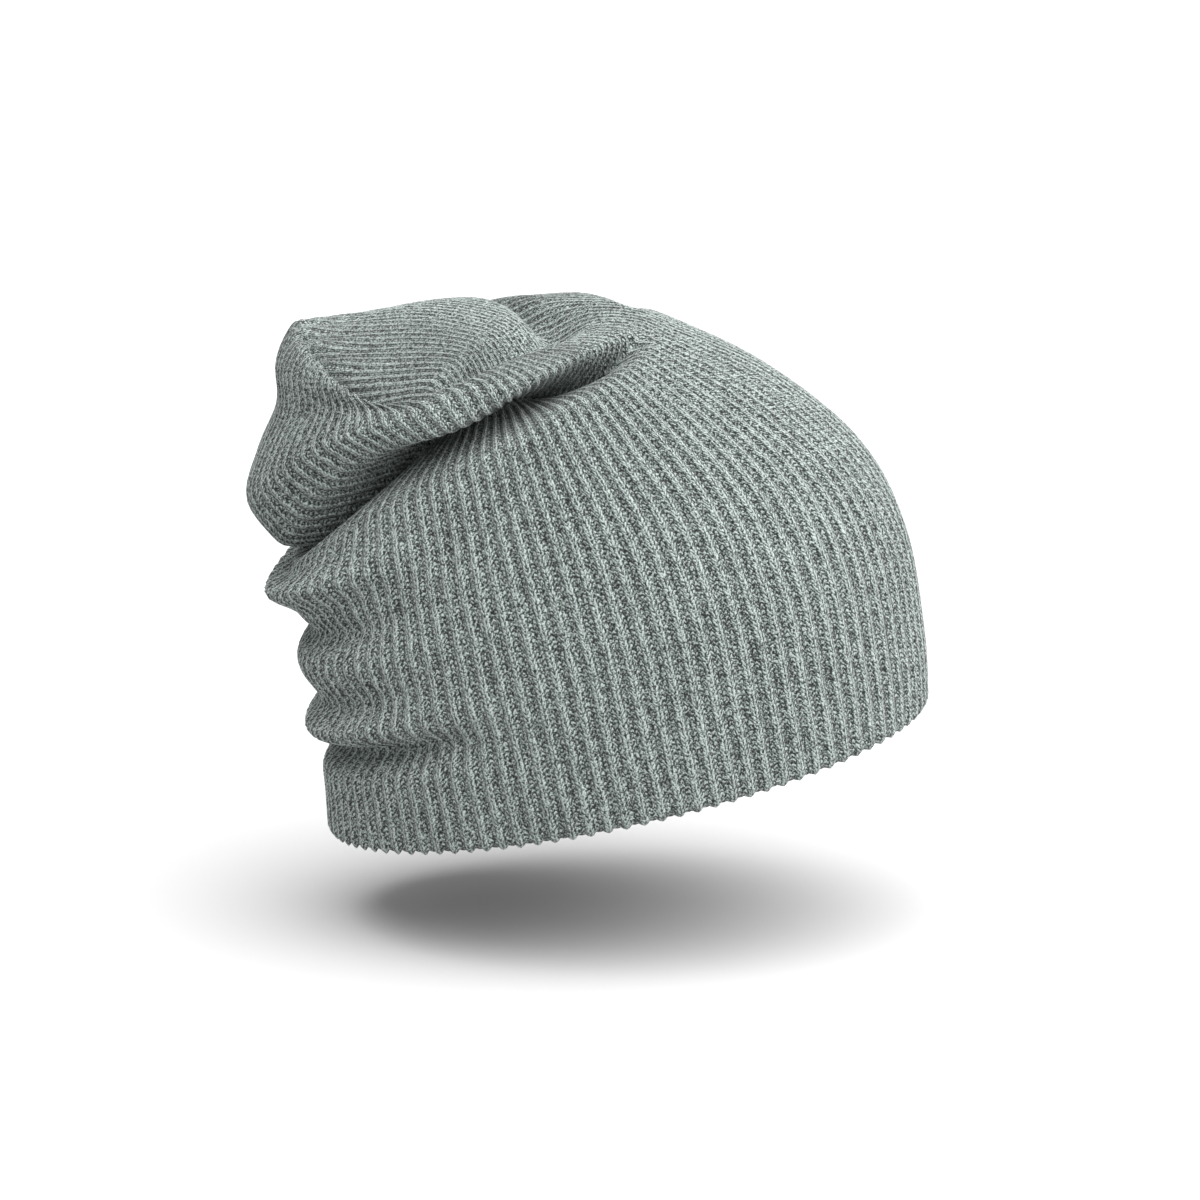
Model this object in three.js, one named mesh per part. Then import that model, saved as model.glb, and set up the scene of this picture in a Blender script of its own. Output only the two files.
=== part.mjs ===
// Slouchy rib-knit beanie, in the form it has while it sits on a head.
// One knitted tube: an open rim, a body that follows the head, a top third that has slid back and
// rolled over the body, accordion folds at the nape and a crown drawn together in a seam.
// Millimetres. +Z is up, +X points toward the forehead, the origin is the middle of the rim opening.

import * as THREE from 'three';

// Driving sizes in millimetres
const RIM_LENGTH = 200; // forehead to nape, over the knit
const RIM_WIDTH = 164; // ear to ear, over the knit
const CROWN_HEIGHT = 157; // height of the crown before the knit settles into its dents
const WALL = 3; // thickness of the rib knit
const POCKET_DEPTH = 26; // how far the knit tucks in under the rolled top
const REAR_TUCK = 9; // how much wider and deeper that pocket is behind the ear
const NAPE_FOLD = 11; // size of the accordion folds at the nape
const TROUGH_DEPTH = 10; // soft dent across the rolled top
const SEAM_TURN = 4; // how far the crown seam has turned to the right ear
const SEAM_SLIP = 3; // near end of the seam, slid forward from its middle
const SEAM_DROP = 3; // near end of the seam, hanging below its middle
const SEAM_BULK = 5; // how much thicker the knit is where it is drawn in to the seam

// Faceting
const COLUMNS = 56; // columns of knit round the tube
const OUTER_ROWS = 57; // rows from the rim to the seam
const INNER_ROWS = 46; // rows of the inner face
const LENGTH_SAMPLES = 600; // steps used to space the rows evenly along the knit

// Sections from the rim to the crown seam. Each is a loop round the tube.
// front, side and back are the points of the loop at the forehead, at the ear and at the nape:
// x in half rim lengths and z in crown heights. out is the half width in half rim widths.
// liftX and liftZ move the loop off a plain oval between ear and nape. slip is the share of the
// seam's slant that the loop has taken on.
const SECTIONS = [
  { name: 'rim', frontX: 1.0, frontZ: 0.143, sideX: 0.0, sideZ: 0.0, out: 1.0, backX: -0.99, backZ: -0.137,
    liftX: 0, liftZ: 0, slip: 0 },
  { name: 'band', frontX: 0.985, frontZ: 0.28, sideX: -0.05, sideZ: 0.14, out: 1.018, backX: -1.005,
    backZ: -0.019, liftX: 0, liftZ: 0, slip: 0 },
  { name: 'brow', frontX: 0.92, frontZ: 0.503, sideX: -0.125, sideZ: 0.357, out: 1.012, backX: -1.05,
    backZ: 0.127, liftX: 0, liftZ: 0, slip: 0 },
  { name: 'dome', frontX: 0.767, frontZ: 0.685, sideX: -0.215, sideZ: 0.554, out: 0.945, backX: -1.07,
    backZ: 0.299, liftX: 0, liftZ: 0, slip: 0 },
  { name: 'crest', frontX: 0.463, frontZ: 0.84, sideX: -0.28, sideZ: 0.672, out: 0.872, backX: -1.085,
    backZ: 0.37, liftX: 0, liftZ: 0.01, slip: 0 },
  { name: 'shoulder', frontX: 0.16, frontZ: 0.926, sideX: -0.35, sideZ: 0.785, out: 0.785, backX: -1.1,
    backZ: 0.433, liftX: -0.03, liftZ: 0.03, slip: 0 },
  { name: 'lip', frontX: 0.02, frontZ: 0.95, sideX: -0.46, sideZ: 0.838, out: 0.755, backX: -1.145,
    backZ: 0.47, liftX: 0, liftZ: 0.085, slip: 0 },
  { name: 'roll', frontX: -0.2, frontZ: 0.945, sideX: -0.55, sideZ: 0.86, out: 0.72, backX: -1.25,
    backZ: 0.565, liftX: 0, liftZ: 0.06, slip: 0.1 },
  { name: 'roll top', frontX: -0.42, frontZ: 0.963, sideX: -0.62, sideZ: 0.862, out: 0.68, backX: -1.215,
    backZ: 0.67, liftX: 0, liftZ: 0.038, slip: 0.25 },
  { name: 'neck', frontX: -0.62, frontZ: 0.973, sideX: -0.7, sideZ: 0.858, out: 0.62, backX: -1.15,
    backZ: 0.777, liftX: 0, liftZ: 0.025, slip: 0.45 },
  { name: 'tip', frontX: -0.82, frontZ: 0.96, sideX: -0.79, sideZ: 0.848, out: 0.56, backX: -1.16,
    backZ: 0.88, liftX: 0, liftZ: 0.02, slip: 0.6 },
  { name: 'gather', frontX: -0.97, frontZ: 0.95, sideX: -0.86, sideZ: 0.834, out: 0.49, backX: -1.14,
    backZ: 0.93, liftX: 0, liftZ: 0.01, slip: 0.85 },
  { name: 'seam', frontX: -1.04, frontZ: 0.944, sideX: -0.93, sideZ: 0.82, out: 0.4, backX: -1.11,
    backZ: 0.936, liftX: 0, liftZ: 0, slip: 1 },
];

// Folds pressed into the sections. front, side and back say on which section the fold runs there,
// counted from the rim. reach is its half width in sections. depth goes toward the middle of the
// hat, a minus sign makes a bulge, and rise is how steeply the tuck climbs on its way in, at the
// front, side and back. The fold begins at the angle from, is whole at full, begins to fade at
// fades and is gone at gone, all in degrees round from the forehead.
const NO_END = 360;
const FOLDS = [
  { name: 'pocket', front: 5.65, side: 5.5, back: 5.5, reach: 0.27, depth: POCKET_DEPTH,
    riseFront: -1.5, riseSide: 0, riseBack: 0.2, from: 14, full: 50, fades: NO_END, gone: NO_END + 1 },
  { name: 'rear tuck', front: 5.45, side: 5.45, back: 5.45, reach: 0.42, depth: REAR_TUCK,
    riseFront: 0, riseSide: 0, riseBack: 0.4, from: 100, full: 125, fades: 140, gone: 168 },
  { name: 'deep crease', front: 1.5, side: 1.48, back: 1.38, reach: 0.17, depth: 0.82 * NAPE_FOLD,
    riseFront: 0, riseSide: 0.2, riseBack: 0.35, from: 100, full: 140, fades: NO_END, gone: NO_END + 1 },
  { name: 'lowest bulge', front: 1.8, side: 1.85, back: 1.68, reach: 0.2, depth: -0.27 * NAPE_FOLD,
    riseFront: 0, riseSide: 0, riseBack: 0, from: 100, full: 150, fades: NO_END, gone: NO_END + 1 },
  { name: 'low crease', front: 2.1, side: 2.0, back: 2.1, reach: 0.2, depth: 0.36 * NAPE_FOLD,
    riseFront: 0, riseSide: 0, riseBack: 0, from: 115, full: 150, fades: NO_END, gone: NO_END + 1 },
  { name: 'middle bulge', front: 2.55, side: 2.45, back: 2.55, reach: 0.22, depth: -0.23 * NAPE_FOLD,
    riseFront: 0, riseSide: 0, riseBack: 0, from: 115, full: 150, fades: NO_END, gone: NO_END + 1 },
  { name: 'high crease', front: 2.95, side: 2.85, back: 2.95, reach: 0.18, depth: 0.32 * NAPE_FOLD,
    riseFront: 0, riseSide: 0, riseBack: 0, from: 115, full: 150, fades: NO_END, gone: NO_END + 1 },
  { name: 'top bulge', front: 4.0, side: 4.0, back: 4.0, reach: 0.45, depth: -NAPE_FOLD,
    riseFront: 0, riseSide: 0, riseBack: 0, from: 110, full: 160, fades: NO_END, gone: NO_END + 1 },
  { name: 'trough', front: 7.2, side: 9.0, back: 9.0, reach: 0.38, depth: TROUGH_DEPTH,
    riseFront: -8, riseSide: -8, riseBack: -8, from: -20, full: -10, fades: 50, gone: 85 },
];

const LAST = SECTIONS.length - 1;
const INNER_LAST = LAST - 3; // the inner face ends short of the gathers
const BULK_FROM = 6.5; // section from which the knit thickens toward the seam
const EAR_CROWDING = 0.049; // ribs sit a little closer at the forehead and nape of the oval
const FOLD_SLANT = 1.5; // folds cross the knit at a slant, so the inner face widens by this much more
const STEP = 1e-3; // small step for slopes

const KNIT = { name: 'rib_knit', color: 0x838a88, roughness: 0.95, metalness: 0 };

function scaledSections() {
  const x = RIM_LENGTH / 2;
  const z = CROWN_HEIGHT;
  const y = RIM_WIDTH / 2;
  return SECTIONS.map((s) => ({
    frontX: s.frontX * x, frontZ: s.frontZ * z,
    sideX: s.sideX * x, sideZ: s.sideZ * z, out: s.out * y,
    backX: s.backX * x, backZ: s.backZ * z,
    liftX: s.liftX * x, liftZ: s.liftZ * z, slip: s.slip,
  }));
}

const LOOPS = scaledSections();

// One column of the table at a place between sections, as a smooth curve through the rows
function along(column, place) {
  const w = Math.min(Math.max(place, 0), LAST - 1e-9);
  const i = Math.floor(w);
  const t = w - i;
  const p1 = LOOPS[i][column];
  const p2 = LOOPS[i + 1][column];
  const p0 = i > 0 ? LOOPS[i - 1][column] : 2 * p1 - p2;
  const p3 = i < LAST - 1 ? LOOPS[i + 2][column] : 2 * p2 - p1;
  return 0.5 * (2 * p1 + (p2 - p0) * t + (2 * p0 - 5 * p1 + 4 * p2 - p3) * t * t
    + (3 * p1 - p0 - 3 * p2 + p3) * t * t * t);
}

// A value round the loop that passes through its front, side and back values
function round(front, side, back, c) {
  return front * (c * c + c) / 2 + back * (c * c - c) / 2 + side * (1 - c * c);
}

function ease(from, to, value) {
  const t = Math.min(Math.max((value - from) / (to - from), 0), 1);
  return t * t * (3 - 2 * t);
}

function smoothPoint(place, angle) {
  const c = Math.cos(angle);
  const s = Math.sin(angle);
  const quarter = c < 0 ? Math.sin(2 * angle) ** 2 : 0;
  const slip = along('slip', place);
  return new THREE.Vector3(
    round(along('frontX', place), along('sideX', place), along('backX', place), c)
      + quarter * along('liftX', place) + slip * s * SEAM_SLIP,
    -along('out', place) * s - slip * SEAM_TURN,
    round(along('frontZ', place), along('sideZ', place), along('backZ', place), c)
      + quarter * along('liftZ', place) - slip * s * SEAM_DROP,
  );
}

// The direction out of the knit at a place
function outwardAt(place, angle) {
  const inside = Math.min(Math.max(place, 2 * STEP), LAST - 2 * STEP);
  const up = smoothPoint(inside + STEP, angle).sub(smoothPoint(inside - STEP, angle));
  const around = smoothPoint(inside, angle + STEP).sub(smoothPoint(inside, angle - STEP));
  return new THREE.Vector3().crossVectors(up, around).normalize();
}

// A point of the face that lies so far inside the knit's outer face
function facePoint(place, angle, inward) {
  const c = Math.cos(angle);
  const s = Math.sin(angle);
  const turned = Math.abs(THREE.MathUtils.radToDeg(Math.atan2(s, c)));
  const point = smoothPoint(place, angle).addScaledVector(outwardAt(place, angle), -inward);
  for (const fold of FOLDS) {
    const strength = ease(fold.from, fold.full, turned) * (1 - ease(fold.fades, fold.gone, turned));
    if (strength === 0) continue;
    const centre = round(fold.front, fold.side, fold.back, c);
    const section = smoothPoint(centre + 0.5, angle).distanceTo(smoothPoint(centre - 0.5, angle));
    const wider = FOLD_SLANT * Math.sign(fold.depth) * inward / section;
    const reach = Math.max(fold.reach + wider, fold.reach / 2);
    const profile = Math.exp(-(((place - centre) / reach) ** 2));
    const rise = round(fold.riseFront, fold.riseSide, fold.riseBack, c);
    const tuck = new THREE.Vector3(-c, s, rise).normalize();
    point.addScaledVector(tuck, fold.depth * profile * strength);
  }
  return point;
}

function outerPoint(place, angle) {
  return facePoint(place, angle, 0);
}

function innerPoint(place, angle) {
  return facePoint(place, angle, WALL + SEAM_BULK * ease(BULK_FROM, INNER_LAST, place));
}

// Places that divide the knit evenly, measured along the ribs at the ear, behind it and at the nape
function evenPlaces(rows, last) {
  const ribs = [0.5, 0.8, 1].map((share) => share * Math.PI);
  const lengths = [0];
  for (let i = 1; i <= LENGTH_SAMPLES; i += 1) {
    const before = last * (i - 1) / LENGTH_SAMPLES;
    const after = last * i / LENGTH_SAMPLES;
    const steps = ribs.map((rib) => outerPoint(before, rib).distanceTo(outerPoint(after, rib)));
    lengths.push(lengths[i - 1] + steps.reduce((sum, step) => sum + step, 0));
  }
  const places = [];
  let i = 0;
  for (let row = 0; row < rows; row += 1) {
    const wanted = lengths[LENGTH_SAMPLES] * row / (rows - 1);
    while (i < LENGTH_SAMPLES - 1 && lengths[i + 1] < wanted) i += 1;
    const share = (wanted - lengths[i]) / (lengths[i + 1] - lengths[i]);
    places.push(last * (i + Math.min(share, 1)) / LENGTH_SAMPLES);
  }
  return places;
}

function knitShell() {
  const vertices = [];
  const faces = [];
  const angles = [];
  for (let column = 0; column < COLUMNS; column += 1) {
    const share = 2 * Math.PI * column / COLUMNS;
    angles.push(share + EAR_CROWDING * Math.sin(2 * share));
  }
  const addRows = (places, point) => {
    const first = vertices.length;
    for (const place of places) {
      for (const angle of angles) vertices.push(point(place, angle));
    }
    return first;
  };
  const outer = addRows(evenPlaces(OUTER_ROWS, LAST), outerPoint);
  const inner = addRows(evenPlaces(INNER_ROWS, INNER_LAST), innerPoint);
  const quad = (a, b, c, d) => faces.push(a, b, c, a, c, d);
  const outerTop = outer + (OUTER_ROWS - 1) * COLUMNS;
  const innerTop = inner + (INNER_ROWS - 1) * COLUMNS;
  const innerMiddle = vertices.length;
  const middle = new THREE.Vector3();
  for (let column = 0; column < COLUMNS; column += 1) middle.add(vertices[innerTop + column]);
  middle.divideScalar(COLUMNS);
  middle.z += SEAM_BULK;
  vertices.push(middle);
  for (let column = 0; column < COLUMNS; column += 1) {
    const next = (column + 1) % COLUMNS;
    for (let row = 0; row < OUTER_ROWS - 1; row += 1) {
      const low = outer + row * COLUMNS;
      quad(low + next, low + column, low + COLUMNS + column, low + COLUMNS + next);
    }
    for (let row = 0; row < INNER_ROWS - 1; row += 1) {
      const low = inner + row * COLUMNS;
      quad(low + column, low + next, low + COLUMNS + next, low + COLUMNS + column);
    }
    quad(outer + column, outer + next, inner + next, inner + column);
    faces.push(innerTop + column, innerTop + next, innerMiddle);
  }
  // The seam joins each column of the front to the one that faces it at the back
  const facing = (column) => outerTop + (COLUMNS / 2 - column + COLUMNS) % COLUMNS;
  for (let step = 0; step < COLUMNS / 2; step += 1) {
    const near = (COLUMNS / 4 - step + COLUMNS) % COLUMNS;
    const far = (near - 1 + COLUMNS) % COLUMNS;
    if (step < COLUMNS / 2 - 1) faces.push(outerTop + near, outerTop + far, facing(far));
    if (step > 0) faces.push(outerTop + near, facing(far), facing(near));
  }
  const geometry = new THREE.BufferGeometry();
  const positions = vertices.flatMap((vertex) => vertex.toArray());
  geometry.setAttribute('position', new THREE.Float32BufferAttribute(positions, 3));
  geometry.setIndex(faces);
  geometry.computeVertexNormals();
  return geometry;
}

function knitMaterial() {
  const material = new THREE.MeshStandardMaterial({
    color: KNIT.color, roughness: KNIT.roughness, metalness: KNIT.metalness,
  });
  material.name = KNIT.name;
  return material;
}

const beanie = new THREE.Group();
beanie.name = 'slouchy_beanie';
const shell = new THREE.Mesh(knitShell(), knitMaterial());
shell.name = 'knit_shell';
beanie.add(shell);

export default beanie;
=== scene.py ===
# %% [markdown]
# Slouchy rib-knit beanie. The real hat is one tube of 1x1 rib knitting, open at the rim and drawn
# together in a seam at the crown. On a head its top third slides back and rolls over the body, and the
# knit stacks in soft folds at the nape.
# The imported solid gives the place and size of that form. This script knits the same form with real
# ribs, a scalloped rim and a puckered crown, and gives it a heathered yarn.

import math

import bmesh
import bpy
import numpy as np
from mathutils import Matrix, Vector


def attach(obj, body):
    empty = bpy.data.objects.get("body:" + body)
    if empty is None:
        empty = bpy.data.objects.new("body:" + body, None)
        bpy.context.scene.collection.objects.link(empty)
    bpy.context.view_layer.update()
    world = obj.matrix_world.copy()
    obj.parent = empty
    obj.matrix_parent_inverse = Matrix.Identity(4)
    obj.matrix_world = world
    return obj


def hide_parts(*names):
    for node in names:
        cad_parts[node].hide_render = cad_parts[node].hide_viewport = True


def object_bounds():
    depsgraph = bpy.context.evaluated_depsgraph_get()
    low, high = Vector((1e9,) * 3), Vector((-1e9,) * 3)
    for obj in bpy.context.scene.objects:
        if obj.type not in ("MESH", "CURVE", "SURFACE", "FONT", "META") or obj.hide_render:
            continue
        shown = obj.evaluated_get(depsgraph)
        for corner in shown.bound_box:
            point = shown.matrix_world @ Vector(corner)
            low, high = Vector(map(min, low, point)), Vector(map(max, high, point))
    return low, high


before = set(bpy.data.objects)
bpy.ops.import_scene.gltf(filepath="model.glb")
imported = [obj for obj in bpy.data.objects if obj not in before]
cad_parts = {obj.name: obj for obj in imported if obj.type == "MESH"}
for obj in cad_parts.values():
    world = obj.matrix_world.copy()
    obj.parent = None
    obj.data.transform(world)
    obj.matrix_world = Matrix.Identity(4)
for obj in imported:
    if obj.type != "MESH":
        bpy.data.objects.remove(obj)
cad_low, cad_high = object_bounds()
MM = 0.001
print("CAD box in mm:", [round(v / MM, 1) for v in (*cad_low, *cad_high)])

# %% [markdown]
# The driving sizes are those of the part: a rim that fits a head of about 57 cm round, the height of
# the crown, how deep the knit tucks in under the roll, and how the crown seam has turned and slid.

# %% Driving sizes in millimetres
HALF_LENGTH = 100.0
HALF_WIDTH = 82.0
CROWN_HEIGHT = 157.0
WALL = 3.0
POCKET_DEPTH = 26.0
REAR_TUCK = 9.0
NAPE_FOLD = 11.0
TROUGH_DEPTH = 10.0
SEAM_TURN = 4.0
SEAM_SLIP = 3.0
SEAM_DROP = 3.0
SEAM_BULK = 5.0
print("rim:", 2 * HALF_LENGTH, "mm long and", 2 * HALF_WIDTH, "mm wide")

# %% [markdown]
# A hat on a head is a tube whose loops tilt and shift as they climb. So its form is a table of loops,
# from the rim to the seam. Each says where the loop passes the forehead, the ear and the nape, as
# shares of half the rim's length, half its width and the crown's height. The lifts move a loop
# between ear and nape, and the slip is its share of the seam's slant.

# %% Sections from the rim to the seam
# name: front x, front z, side x, side z, half width, back x, back z, lift x, lift z, slip
SECTIONS = {
    "rim": (1.0, 0.143, 0.0, 0.0, 1.0, -0.99, -0.137, 0, 0, 0),
    "band": (0.985, 0.28, -0.05, 0.14, 1.018, -1.005, -0.019, 0, 0, 0),
    "brow": (0.92, 0.503, -0.125, 0.357, 1.012, -1.05, 0.127, 0, 0, 0),
    "dome": (0.767, 0.685, -0.215, 0.554, 0.945, -1.07, 0.299, 0, 0, 0),
    "crest": (0.463, 0.84, -0.28, 0.672, 0.872, -1.085, 0.37, 0, 0.01, 0),
    "shoulder": (0.16, 0.926, -0.35, 0.785, 0.785, -1.1, 0.433, -0.03, 0.03, 0),
    "lip": (0.02, 0.95, -0.46, 0.838, 0.755, -1.145, 0.47, 0, 0.085, 0),
    "roll": (-0.2, 0.945, -0.55, 0.86, 0.72, -1.25, 0.565, 0, 0.06, 0.1),
    "roll top": (-0.42, 0.963, -0.62, 0.862, 0.68, -1.215, 0.67, 0, 0.038, 0.25),
    "neck": (-0.62, 0.973, -0.7, 0.858, 0.62, -1.15, 0.777, 0, 0.025, 0.45),
    "tip": (-0.82, 0.96, -0.79, 0.848, 0.56, -1.16, 0.88, 0, 0.02, 0.6),
    "gather": (-0.97, 0.95, -0.86, 0.834, 0.49, -1.14, 0.93, 0, 0.01, 0.85),
    "seam": (-1.04, 0.944, -0.93, 0.82, 0.4, -1.11, 0.936, 0, 0, 1),
}
LOOPS = np.array(list(SECTIONS.values()))
LAST = len(LOOPS) - 1
print("sections:", ", ".join(SECTIONS))

# %% [markdown]
# The folds are pressed into that tube. Each runs near one section and only round the part of the hat
# where the knit has room to spare. A plus depth goes toward the middle of the hat and makes a crease
# or a pocket, and a minus depth makes a bulge. The last four numbers are degrees from the forehead:
# where the fold begins, where it is whole, where it begins to fade and where it is gone. The slant
# says how much wider a crease gets for each millimetre that it goes into the wall.

# %% Folds
# name: front, side, back, reach, depth, rise front, rise side, rise back, from, full, fades, gone
FOLDS = {
    "pocket": (5.65, 5.5, 5.5, 0.27, POCKET_DEPTH, -1.5, 0, 0.2, 14, 50, 360, 361),
    "rear tuck": (5.45, 5.45, 5.45, 0.42, REAR_TUCK, 0, 0, 0.4, 100, 125, 140, 168),
    "deep crease": (1.5, 1.48, 1.38, 0.17, 0.82 * NAPE_FOLD, 0, 0.2, 0.35, 100, 140, 360, 361),
    "lowest bulge": (1.8, 1.85, 1.68, 0.2, -0.27 * NAPE_FOLD, 0, 0, 0, 100, 150, 360, 361),
    "low crease": (2.1, 2.0, 2.1, 0.2, 0.36 * NAPE_FOLD, 0, 0, 0, 115, 150, 360, 361),
    "middle bulge": (2.55, 2.45, 2.55, 0.22, -0.23 * NAPE_FOLD, 0, 0, 0, 115, 150, 360, 361),
    "high crease": (2.95, 2.85, 2.95, 0.18, 0.32 * NAPE_FOLD, 0, 0, 0, 115, 150, 360, 361),
    "top bulge": (4.0, 4.0, 4.0, 0.45, -NAPE_FOLD, 0, 0, 0, 110, 160, 360, 361),
    "trough": (7.2, 9.0, 9.0, 0.38, TROUGH_DEPTH, -8, -8, -8, -20, -10, 50, 85),
}
FOLD_SLANT = 1.5
print("folds:", ", ".join(FOLDS))

# %% [markdown]
# Four small helpers: a smooth curve along a column of the sections, a smooth value round a loop, a
# ramp without corners and vectors of length one. All of them take whole arrays, so the whole sheet
# is shaped at once.

# %% Reading the tables


def column(k, place):
    """One column of the sections at places between them, as a smooth curve."""
    w = np.clip(place, 0, LAST - 1e-9)
    i = np.floor(w).astype(int)
    t = w - i
    p1, p2 = LOOPS[i, k], LOOPS[i + 1, k]
    p0 = np.where(i > 0, LOOPS[np.maximum(i - 1, 0), k], 2 * p1 - p2)
    p3 = np.where(i < LAST - 1, LOOPS[np.minimum(i + 2, LAST), k], 2 * p2 - p1)
    square = 2 * p0 - 5 * p1 + 4 * p2 - p3
    return 0.5 * (2 * p1 + (p2 - p0) * t + square * t**2 + (3 * p1 - p0 - 3 * p2 + p3) * t**3)


def around(front, side, back, c):
    """A value round the loop that passes through its front, side and back values."""
    return front * (c * c + c) / 2 + back * (c * c - c) / 2 + side * (1 - c * c)


def ease(start, end, value):
    """A ramp from 0 at the start to 1 at the end, without corners."""
    t = np.clip((value - start) / (end - start), 0, 1)
    return t * t * (3 - 2 * t)


def unit(v):
    """Vectors of length one."""
    return v / np.maximum(np.linalg.norm(v, axis=-1, keepdims=True), 1e-9)


# %% [markdown]
# The tube comes first, then the knit's face: it lies some millimetres inside the outer face, and the
# folds push it. The inner face gets wider and softer creases than the outer one, because knitting
# doesn't crease as sharply on the inside of a bend.

# %% The tube and its folds


def smooth_points(place, angle):
    """The tube without its folds, in millimetres."""
    c, s = np.cos(angle), np.sin(angle)
    quarter = np.where(c < 0, np.sin(2 * angle) ** 2, 0)
    slip = column(9, place)
    x = around(column(0, place), column(2, place), column(5, place), c) + quarter * column(7, place)
    z = around(column(1, place), column(3, place), column(6, place), c) + quarter * column(8, place)
    y = -column(4, place) * s
    return np.stack([
        x * HALF_LENGTH + slip * s * SEAM_SLIP,
        y * HALF_WIDTH - slip * SEAM_TURN,
        z * CROWN_HEIGHT - slip * s * SEAM_DROP,
    ], axis=-1)


def face_points(place, angle, inward):
    """The knit's face that lies so many millimetres inside the outer one, with its folds."""
    step = 1e-3
    inside = np.clip(place, 2 * step, LAST - 2 * step)
    up = smooth_points(inside + step, angle) - smooth_points(inside - step, angle)
    turn = smooth_points(inside, angle + step) - smooth_points(inside, angle - step)
    points = smooth_points(place, angle) - unit(np.cross(up, turn)) * np.asarray(inward)[..., None]
    c, s = np.cos(angle), np.sin(angle)
    turned = np.abs(np.degrees(np.arctan2(s, c)))
    for front, side, back, reach, depth, rise_f, rise_s, rise_b, start, full, fades, gone in FOLDS.values():
        strength = ease(start, full, turned) * (1 - ease(fades, gone, turned))
        centre = around(front, side, back, c)
        across_fold = smooth_points(centre + 0.5, angle) - smooth_points(centre - 0.5, angle)
        section = np.linalg.norm(across_fold, axis=-1)
        wider = FOLD_SLANT * math.copysign(1, depth) * inward / section
        wide = np.maximum(reach + wider, reach / 2)
        size = depth * strength * np.exp(-(((place - centre) / wide) ** 2))
        tuck = unit(np.stack([-c, s, around(rise_f, rise_s, rise_b, c)], axis=-1))
        points = points + tuck * size[..., None]
    return points


def rib_lengths(angle, samples=900):
    """How far up the knit each of many even places lies, along the rib at an angle."""
    fine = np.linspace(0, LAST, samples)
    rib = face_points(fine, np.full(samples, angle), 0.0)
    return fine, np.append(0, np.cumsum(np.linalg.norm(np.diff(rib, axis=0), axis=1)))


print("one rib from rim to seam at the forehead:", round(rib_lengths(0)[1][-1]), "mm")

# %% [markdown]
# The knit is one sheet. It starts inside the crown, runs down the inner face, turns over the rim and
# runs up the outer face to the seam. It could be two shells joined at the rim, but one sheet has no
# joint to hide. The wall grows thicker toward the crown, where the real knit is gathered. On a real
# hat the ribs are columns of knit stitches that stand proud, with columns of purl stitches sunk
# between them. Each of the 96 ribs has six columns of points here, so the ribs cast real shadows.

# %% Rows of the sheet
RIBS = 96
COLUMNS = RIBS * 6
INNER_ROWS = 34
RIM_ROWS = 4
OUTER_ROWS = 122
INNER_LAST = LAST - 3
BULK_FROM = 6.5


def even_places(rows, first, last):
    """Places that divide the knit evenly along the ribs at the ear, behind it and at the nape."""
    measured = [rib_lengths(share * math.pi) for share in (0.5, 0.8, 1.0)]
    fine = measured[0][0]
    total = sum(lengths for _, lengths in measured)
    ends = np.interp([first, last], fine, total)
    return np.interp(np.linspace(ends[0], ends[1], rows), total, fine)


rim_turn = np.linspace(0, 1, RIM_ROWS + 2)[1:-1] * math.pi
inner_places = even_places(INNER_ROWS, INNER_LAST, 0)
inner_wall = WALL + SEAM_BULK * ease(BULK_FROM, INNER_LAST, inner_places)
places = np.concatenate([inner_places, np.zeros(RIM_ROWS), even_places(OUTER_ROWS, 0, LAST)])
inward = np.concatenate([inner_wall, WALL * (1 + np.cos(rim_turn)) / 2, np.zeros(OUTER_ROWS)])
rim_drop = np.concatenate([np.zeros(INNER_ROWS), WALL / 2 * np.sin(rim_turn), np.zeros(OUTER_ROWS)])
print("rows:", len(places), "wall inside the crown:", round(inner_wall[0], 1), "mm")

# %% [markdown]
# The rim is longer than it is wide, so equal angles would spread the ribs at the ears. A little
# crowding there makes every rib as wide as the next. Where the top rolls over, the tube has twisted
# on the head, so the ribs drift round it on their way to the seam. The table pairs places round the
# hat with that drift, both in degrees. Only the ribs move: the form stays.

# %% Columns of the sheet
EAR_CROWDING = 0.049
DRIFT_FROM = 4.5
DRIFT = (
    (-180, 0), (-90, 40), (-20, 68), (20, 63), (60, 53), (80, 48),
    (90, 43), (97, 34), (104, 19), (112, 6), (120, 0), (180, 0),
)

share_round = np.linspace(0, 1, COLUMNS + 1)
angles = 2 * math.pi * share_round + EAR_CROWDING * np.sin(4 * math.pi * share_round)
round_hat = np.degrees(np.arctan2(np.sin(angles), np.cos(angles)))
drift = np.radians(np.interp(round_hat, *zip(*DRIFT)))
turned_angles = angles[None, :] - ease(DRIFT_FROM, LAST, places)[:, None] * drift[None, :]
every_place = np.repeat(places[:, None], COLUMNS + 1, axis=1)
every_inward = np.repeat(inward[:, None], COLUMNS + 1, axis=1)
grid = face_points(every_place, turned_angles, every_inward)
print("sheet:", grid.shape[0], "rows of", grid.shape[1], "points")

# %% [markdown]
# Each rib is a rounded wave across the sheet, along its normals. Where ribs crowd together they are
# lower, as the knit is stretched less and the stitches pack. The inner face has its ribs where the
# outer one has its gutters. At the rim the knit stitches hang a little lower than the purl stitches,
# which gives the scalloped edge.

# %% Ribs and rim
RIB_RELIEF = 1.3
RELIEF_SHARE = 0.3
RIB_SQUARENESS = 0.8
RIM_SCALLOP = 0.7
SCALLOP_ROWS = 3

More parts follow.
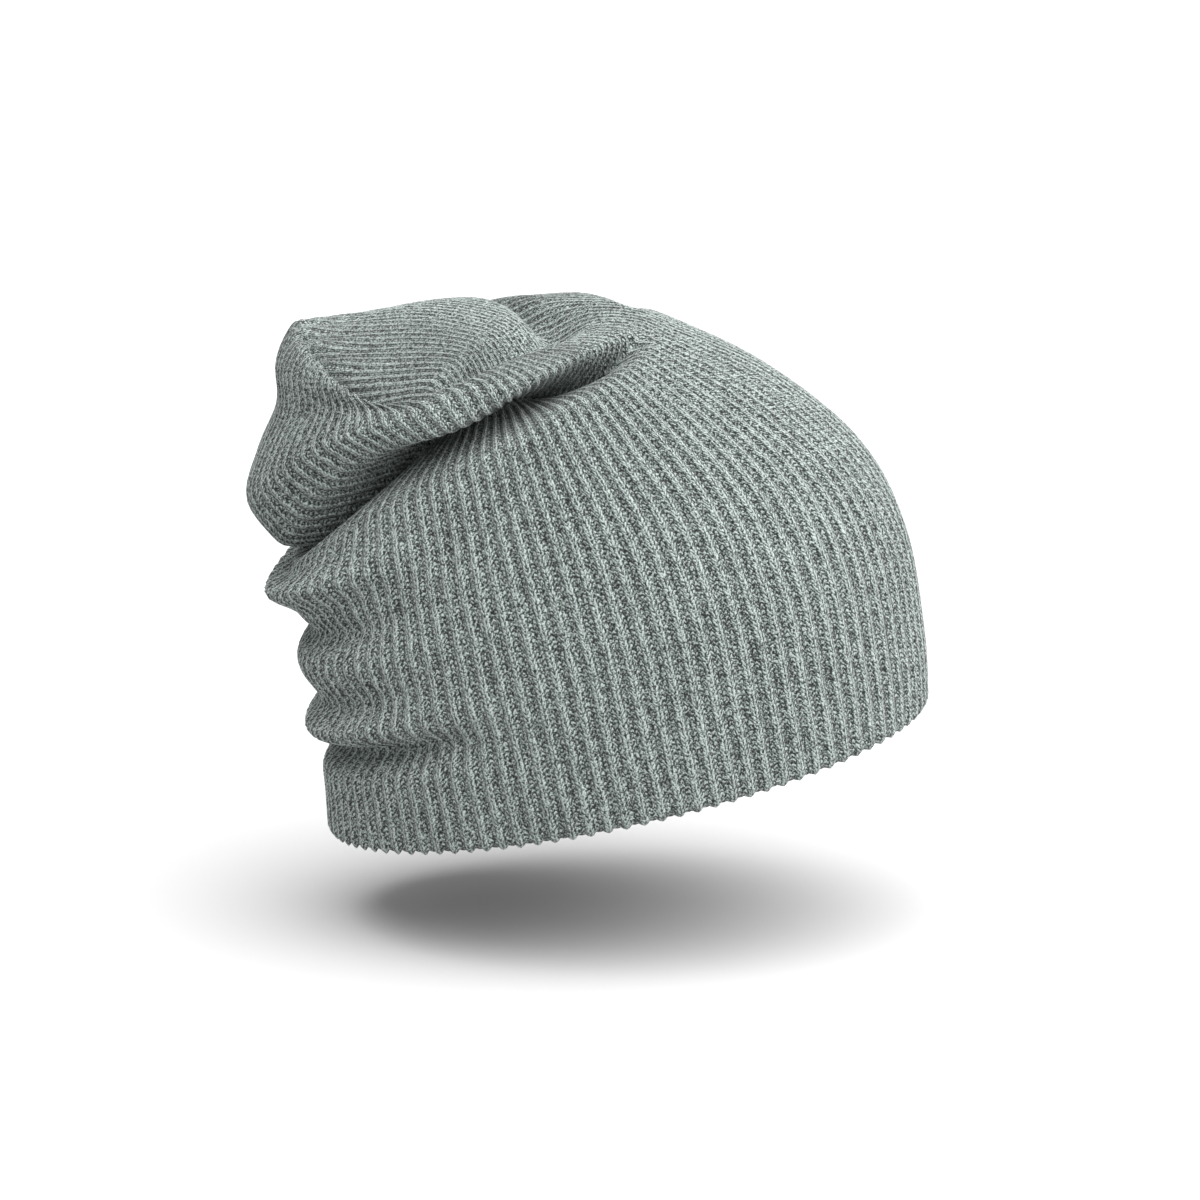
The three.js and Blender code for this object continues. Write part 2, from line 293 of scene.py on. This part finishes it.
run_up = np.gradient(grid, axis=0)
run_round = np.gradient(grid, axis=1)
run_round[:, 0] = run_round[:, -1] = (grid[:, 1] - grid[:, -2]) / 2
normal = unit(np.cross(run_up, run_round))
pitch = np.linalg.norm(run_round, axis=-1) * COLUMNS / RIBS
rib_wave = np.cos(2 * math.pi * RIBS * share_round)[None, :]
rounded_rib = np.sign(rib_wave) * np.abs(rib_wave) ** RIB_SQUARENESS
relief = np.minimum(RIB_RELIEF, RELIEF_SHARE * pitch) * rounded_rib / 2
relief[: INNER_ROWS + RIM_ROWS // 2] *= -1
grid = grid + normal * relief[..., None]

rows_from_rim = np.abs(np.arange(len(places)) - INNER_ROWS - RIM_ROWS / 2)
scallop = RIM_SCALLOP * np.exp(-rows_from_rim / SCALLOP_ROWS)
grid[..., 2] -= rim_drop[:, None] + scallop[:, None] * (0.5 + rib_wave / 2)
print("rib pitch at the rim:", round(pitch[INNER_ROWS + RIM_ROWS].mean(), 2), "mm")

# %% [markdown]
# At the crown the last courses are drawn together: each rib of the front meets the one that faces it
# at the back, in one seam, and the knit puckers down into it. The last rows are pulled to the middle
# between the two. The inner face ends in a shallow point above the head.

# %% Drawing the crown together
SEAM_ROWS = 9
SEAM_DIP = 0.5
PUCKERS = 8
PUCKER_DEPTH = 1.8

crown_places = every_place[-SEAM_ROWS:]
crown_angles = turned_angles[-SEAM_ROWS:]
own = face_points(crown_places, crown_angles, 0 * crown_places)
facing = face_points(crown_places, math.pi - crown_angles, 0 * crown_places)
pull = (np.arange(1, SEAM_ROWS + 1) / SEAM_ROWS)[:, None] ** 2
grid[-SEAM_ROWS:] += pull[..., None] * ((own + facing) / 2 - grid[-SEAM_ROWS:])
along_seam = np.sin(crown_angles)
pucker = PUCKER_DEPTH * np.cos(PUCKERS * math.pi * along_seam)
grid[-SEAM_ROWS:, :, 2] -= pull * (SEAM_DIP + pucker) * (1 - along_seam**2)

inner_tip = grid[0, :-1].mean(axis=0) + np.array([0, 0, SEAM_BULK])
grid = np.concatenate([np.broadcast_to(inner_tip, (1, COLUMNS + 1, 3)), grid])
grid[:, -1] = grid[:, 0]
print("crown seam runs over", round(np.ptp(grid[-1, :, 1]), 1), "mm from ear to ear")

# %% [markdown]
# The sheet starts as a flat grid, because its vertices are numbered row by row, so each number tells
# how far round and how far up the knit it lies. Every vertex moves to its place, its UV becomes the
# rib's number round the tube and the millimetres up the rib, and the edges that meet are welded.

# %% The knitted piece
WELD = 0.01 * MM

rows, points = grid.shape[:2]
steps = np.linalg.norm(np.diff(grid, axis=0), axis=-1)
up_rib = np.vstack([np.zeros(points), np.cumsum(steps, axis=0)])
up_rib -= up_rib[1 + INNER_ROWS + RIM_ROWS]

bm = bmesh.new()
bmesh.ops.create_grid(bm, x_segments=points - 1, y_segments=rows - 1, size=1.0, calc_uvs=True)
bm.verts.ensure_lookup_table()
for index, vertex in enumerate(bm.verts):
    row, point = divmod(index, points)
    vertex.co = Vector(grid[row, point] * MM)
uv = bm.loops.layers.uv.verify()
for face in bm.faces:
    face.smooth = True
    for loop in face.loops:
        row, point = divmod(loop.vert.index, points)
        loop[uv].uv = (point * RIBS / COLUMNS, up_rib[row, point])
bmesh.ops.remove_doubles(bm, verts=bm.verts[:], dist=WELD)
bmesh.ops.dissolve_degenerate(bm, dist=WELD / 10, edges=bm.edges[:])
bmesh.ops.recalc_face_normals(bm, faces=bm.faces[:])
open_edges = sum(1 for edge in bm.edges if len(edge.link_faces) != 2)
mesh = bpy.data.meshes.new("rib_knit_beanie")
bm.to_mesh(mesh)
bm.free()
print("faces:", len(mesh.polygons), "edges that don't close:", open_edges)

# %% [markdown]
# The knitted piece takes the place of the plain solid and rides on the one body that the hat has.

# %% In place of the solid
beanie = bpy.data.objects.new("rib_knit_beanie", mesh)
bpy.context.collection.objects.link(beanie)
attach(beanie, "root")
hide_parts("knit_shell")
print("object:", beanie.name)

# %% [markdown]
# The yarn is a heathered acrylic: pale and dark grey fibres spun together, a little green in the
# shade. A few helpers keep the shader short: one adds a node with its settings and links, and the
# others are sums that the stitches use again and again.

# %% Yarn colours and node helpers
# The dark colour is partly the dark fibres and partly painted shade in the gaps between the strands.
DARK_FIBRE_AND_GAP_SHADE = "#121715"
MEAN_YARN = "#626B68"
PALE_YARN = "#9CA6A3"


def srgb(hex_code):
    """A colour given as sRGB, in the linear values that the shader reads."""
    parts = [int(hex_code[i:i + 2], 16) / 255 for i in (1, 3, 5)]
    linear = [p / 12.92 if p <= 0.04045 else ((p + 0.055) / 1.055) ** 2.4 for p in parts]
    return (*linear, 1.0)


def add(tree, kind, inputs=None, **settings):
    """Adds a node, gives it its settings, and sets or links its inputs."""
    node = tree.nodes.new(kind)
    for name, value in settings.items():
        setattr(node, name, value)
    for key, value in (inputs or {}).items():
        if isinstance(value, bpy.types.NodeSocket):
            tree.links.new(value, node.inputs[key])
        else:
            node.inputs[key].default_value = value
    return node


def maths(tree, operation, a, b=0.0, c=0.0):
    """One step of reckoning with up to three values."""
    return add(tree, "ShaderNodeMath", {0: a, 1: b, 2: c}, operation=operation).outputs[0]


def noise(tree, vector, size_mm, detail):
    """Noise with blobs of about the given size, centred on zero."""
    scale = 1 / (size_mm * MM)
    texture = add(tree, "ShaderNodeTexNoise", {"Vector": vector, "Scale": scale, "Detail": detail})
    return maths(tree, "SUBTRACT", texture.outputs["Fac"], 0.5)


def hump(tree, phase, low=0.0, high=1.0):
    """Half a sine wave: low at both ends of the phase from 0 to 1, and high in the middle."""
    wave = maths(tree, "SINE", maths(tree, "MULTIPLY", phase, math.pi))
    return maths(tree, "MULTIPLY_ADD", wave, high - low, low)


print("yarn:", DARK_FIBRE_AND_GAP_SHADE, MEAN_YARN, PALE_YARN)

# %% [markdown]
# A knit stitch is a V of two slanting legs, and a purl stitch is a short bar that bends across the
# gutter between two ribs. Both are far finer than the mesh, so they are a height that the shader
# uses for a bump, and for painted shade that darkens the gaps where the strands dive under. They
# follow the UVs, so they stay on their ribs through every fold. Noise sways them, because no stitch
# is quite like the next.

# %% Stitches
COURSE = 1.7
WALE_SHARE = 0.42
LEG_SLANT = 0.9
LEG_LOW, LEG_HIGH = 0.4, 1.0
BAR_BEND = 0.45
BAR_LOW, BAR_HIGH = 0.3, 0.75
SWAY_SIZE, SWAY = 2.2, 0.22
LAG_SIZE, LAG = 1.6, 1.3


def stitch_height(tree, uv_place, on_knit):
    """The height of the strands: 0 in the gaps between them and 1 on their crests."""
    flat = add(tree, "ShaderNodeSeparateXYZ", {0: uv_place})
    sway = maths(tree, "MULTIPLY", noise(tree, on_knit, SWAY_SIZE, 2.0), SWAY)
    lag = maths(tree, "MULTIPLY", noise(tree, on_knit, LAG_SIZE, 2.0), LAG)
    rib = maths(tree, "ADD", flat.outputs[0], sway)
    course = maths(tree, "ADD", maths(tree, "DIVIDE", flat.outputs[1], COURSE), lag)
    from_crest = maths(tree, "SUBTRACT", maths(tree, "FRACT", maths(tree, "ADD", rib, 0.5)), 0.5)
    aside = maths(tree, "ABSOLUTE", from_crest)

    leg_place = maths(tree, "DIVIDE", aside, WALE_SHARE / 2)
    leg_phase = maths(tree, "FRACT", maths(tree, "MULTIPLY_ADD", leg_place, -LEG_SLANT, course))
    leg = hump(tree, leg_phase, LEG_LOW, LEG_HIGH)
    leg_body = hump(tree, maths(tree, "MINIMUM", leg_place, 1.0), LEG_LOW, LEG_HIGH)
    wale = maths(tree, "MULTIPLY", leg, leg_body)

    gutter_place = maths(tree, "DIVIDE", maths(tree, "SUBTRACT", 0.5, aside), 0.5 - WALE_SHARE / 2)
    half = maths(tree, "MULTIPLY", maths(tree, "GREATER_THAN", from_crest, 0.0), 0.5)
    swing = maths(tree, "COSINE", maths(tree, "MULTIPLY", gutter_place, 2 * math.pi))
    bend = maths(tree, "MULTIPLY", swing, BAR_BEND / 2)
    bar_phase = maths(tree, "FRACT", maths(tree, "ADD", maths(tree, "ADD", course, half), bend))
    bar_body = hump(tree, maths(tree, "MINIMUM", gutter_place, 1.0), BAR_LOW, BAR_HIGH)
    purl = maths(tree, "MULTIPLY", hump(tree, bar_phase), bar_body)

    on_wale = maths(tree, "LESS_THAN", aside, WALE_SHARE / 2)
    return add(tree, "ShaderNodeMix", {0: on_wale, 2: purl, 3: wale}, data_type="FLOAT").outputs[0]


print("a course every", COURSE, "mm")

# %% [markdown]
# The shade of the yarn adds the stitches, which paint shade into the gaps between the strands, to
# three kinds of noise: single fibres, the mixed spinning of pale and dark, and large soft clouds.
# Acrylic yarn is matt with a slight sheen from its fuzz.

# %% Yarn
FIBRE_SIZE, FIBRES = 0.55, 2.4
MELANGE_SIZE, MELANGE = 1.4, 1.2
CLOUD_SIZE, CLOUDS = 14.0, 0.2
STITCH_SHADE, BASE_SHADE = 0.9, 0.04
DARK_AT, MEAN_AT, PALE_AT = 0.12, 0.5, 0.9
STITCH_BUMP = 0.6
FIBRE_BUMP = 0.6


def rib_knit_material():
    """Heathered acrylic rib knit, soft and matt."""
    material = bpy.data.materials.new("heathered acrylic rib knit")
    material.use_nodes = True
    tree = material.node_tree
    tree.nodes.clear()
    place = add(tree, "ShaderNodeTexCoord")
    on_knit = place.outputs["Object"]
    stitch = stitch_height(tree, place.outputs["UV"], on_knit)
    fibres = noise(tree, on_knit, FIBRE_SIZE, 2.0)

    # Painted shade: where the stitch height is low, in the gaps between strands, the yarn goes dark.
    shade = maths(tree, "MULTIPLY_ADD", stitch, STITCH_SHADE, BASE_SHADE)
    shade = maths(tree, "MULTIPLY_ADD", fibres, FIBRES, shade)
    shade = maths(tree, "MULTIPLY_ADD", noise(tree, on_knit, MELANGE_SIZE, 3.0), MELANGE, shade)
    shade = maths(tree, "MULTIPLY_ADD", noise(tree, on_knit, CLOUD_SIZE, 2.0), CLOUDS, shade)
    yarn = add(tree, "ShaderNodeValToRGB", {"Fac": shade})
    yarn.color_ramp.elements[0].color = srgb(DARK_FIBRE_AND_GAP_SHADE)
    yarn.color_ramp.elements[0].position = DARK_AT
    yarn.color_ramp.elements[1].color = srgb(PALE_YARN)
    yarn.color_ramp.elements[1].position = PALE_AT
    yarn.color_ramp.elements.new(MEAN_AT).color = srgb(MEAN_YARN)

    relief = maths(tree, "MULTIPLY_ADD", fibres, FIBRE_BUMP, stitch)
    bump = add(tree, "ShaderNodeBump", {"Height": relief, "Strength": 1.0, "Distance": STITCH_BUMP * MM})
    shader = add(tree, "ShaderNodeBsdfPrincipled", {
        "Base Color": yarn.outputs["Color"],
        "Roughness": 0.92,
        "Specular IOR Level": 0.15,
        "Sheen Weight": 0.15,
        "Sheen Roughness": 0.6,
        "Normal": bump.outputs["Normal"],
    })
    add(tree, "ShaderNodeOutputMaterial", {"Surface": shader.outputs["BSDF"]})
    return material


beanie.data.materials.append(rib_knit_material())
print("materials:", [m.name for m in beanie.data.materials])

# %% [markdown]
# The hat is seen from its right side, a little from above. A long lens from three metres keeps the
# near and the far side at nearly the same size, as in a catalogue picture.

# %% Camera
ELEVATION = math.radians(14)
DISTANCE = 3.0
FRAME_WIDTH = 0.4
AIM = Vector((-0.0087, 0.0127, 0.0508))

camera = bpy.data.objects.new("camera", bpy.data.cameras.new("camera"))
bpy.context.collection.objects.link(camera)
toward = Vector((0, math.cos(ELEVATION), -math.sin(ELEVATION)))
camera.location = AIM - toward * DISTANCE
camera.rotation_euler = toward.to_track_quat("-Z", "Y").to_euler()
camera.data.lens = camera.data.sensor_width * DISTANCE / FRAME_WIDTH
camera.data.clip_end = 50
bpy.context.scene.camera = camera
print("lens:", round(camera.data.lens), "mm")

# %% [markdown]
# The floor is a wide sheet of pale paper. It lies a little under the nape, as if the hat hovered
# where a head would hold it.

# %% Floor
FLOOR_SIZE = 6.0
FLOOR_GAP = 0.032
PAPER = "#B2B2B2"

floor_mesh = bpy.data.meshes.new("floor")
bm = bmesh.new()
bmesh.ops.create_grid(bm, x_segments=1, y_segments=1, size=FLOOR_SIZE)
bm.to_mesh(floor_mesh)
bm.free()
floor = bpy.data.objects.new("floor", floor_mesh)
floor.location.z = cad_low[2] - FLOOR_GAP
paper = bpy.data.materials.new("pale paper")
paper.use_nodes = True
paper_shader = paper.node_tree.nodes["Principled BSDF"]
paper_shader.inputs["Base Color"].default_value = srgb(PAPER)
paper_shader.inputs["Roughness"].default_value = 0.9
floor_mesh.materials.append(paper)
bpy.context.collection.objects.link(floor)
print("floor at", round(floor.location.z / MM, 1), "mm")

# %% [markdown]
# Two wide, soft lights stand in for studio softboxes. The main one hangs above, a little to the
# front of the hat and on its right side, and the weaker one fills the forehead. The white room
# lifts the shadows. The Standard view keeps the paper white, without a film curve.

# %% Light


def lamp(name, toward_light, strength, softness):
    """A far, soft light that shines from a direction and is as wide as the angle."""
    light = bpy.data.lights.new(name, "SUN")
    light.energy = strength
    light.angle = math.radians(softness)
    holder = bpy.data.objects.new(name, light)
    holder.rotation_euler = Vector(toward_light).to_track_quat("Z", "Y").to_euler()
    bpy.context.collection.objects.link(holder)


lamp("overhead softbox", (0.3, -0.22, 1.0), 7.0, 95)
lamp("front softbox", (1.0, -0.9, 0.6), 0.9, 60)

world = bpy.data.worlds.new("studio")
world.use_nodes = True
world.node_tree.nodes["Background"].inputs["Color"].default_value = (1, 1, 1, 1)
world.node_tree.nodes["Background"].inputs["Strength"].default_value = 0.72
bpy.context.scene.world = world
bpy.context.scene.view_settings.view_transform = "Standard"
print("lights:", len(bpy.data.lights))
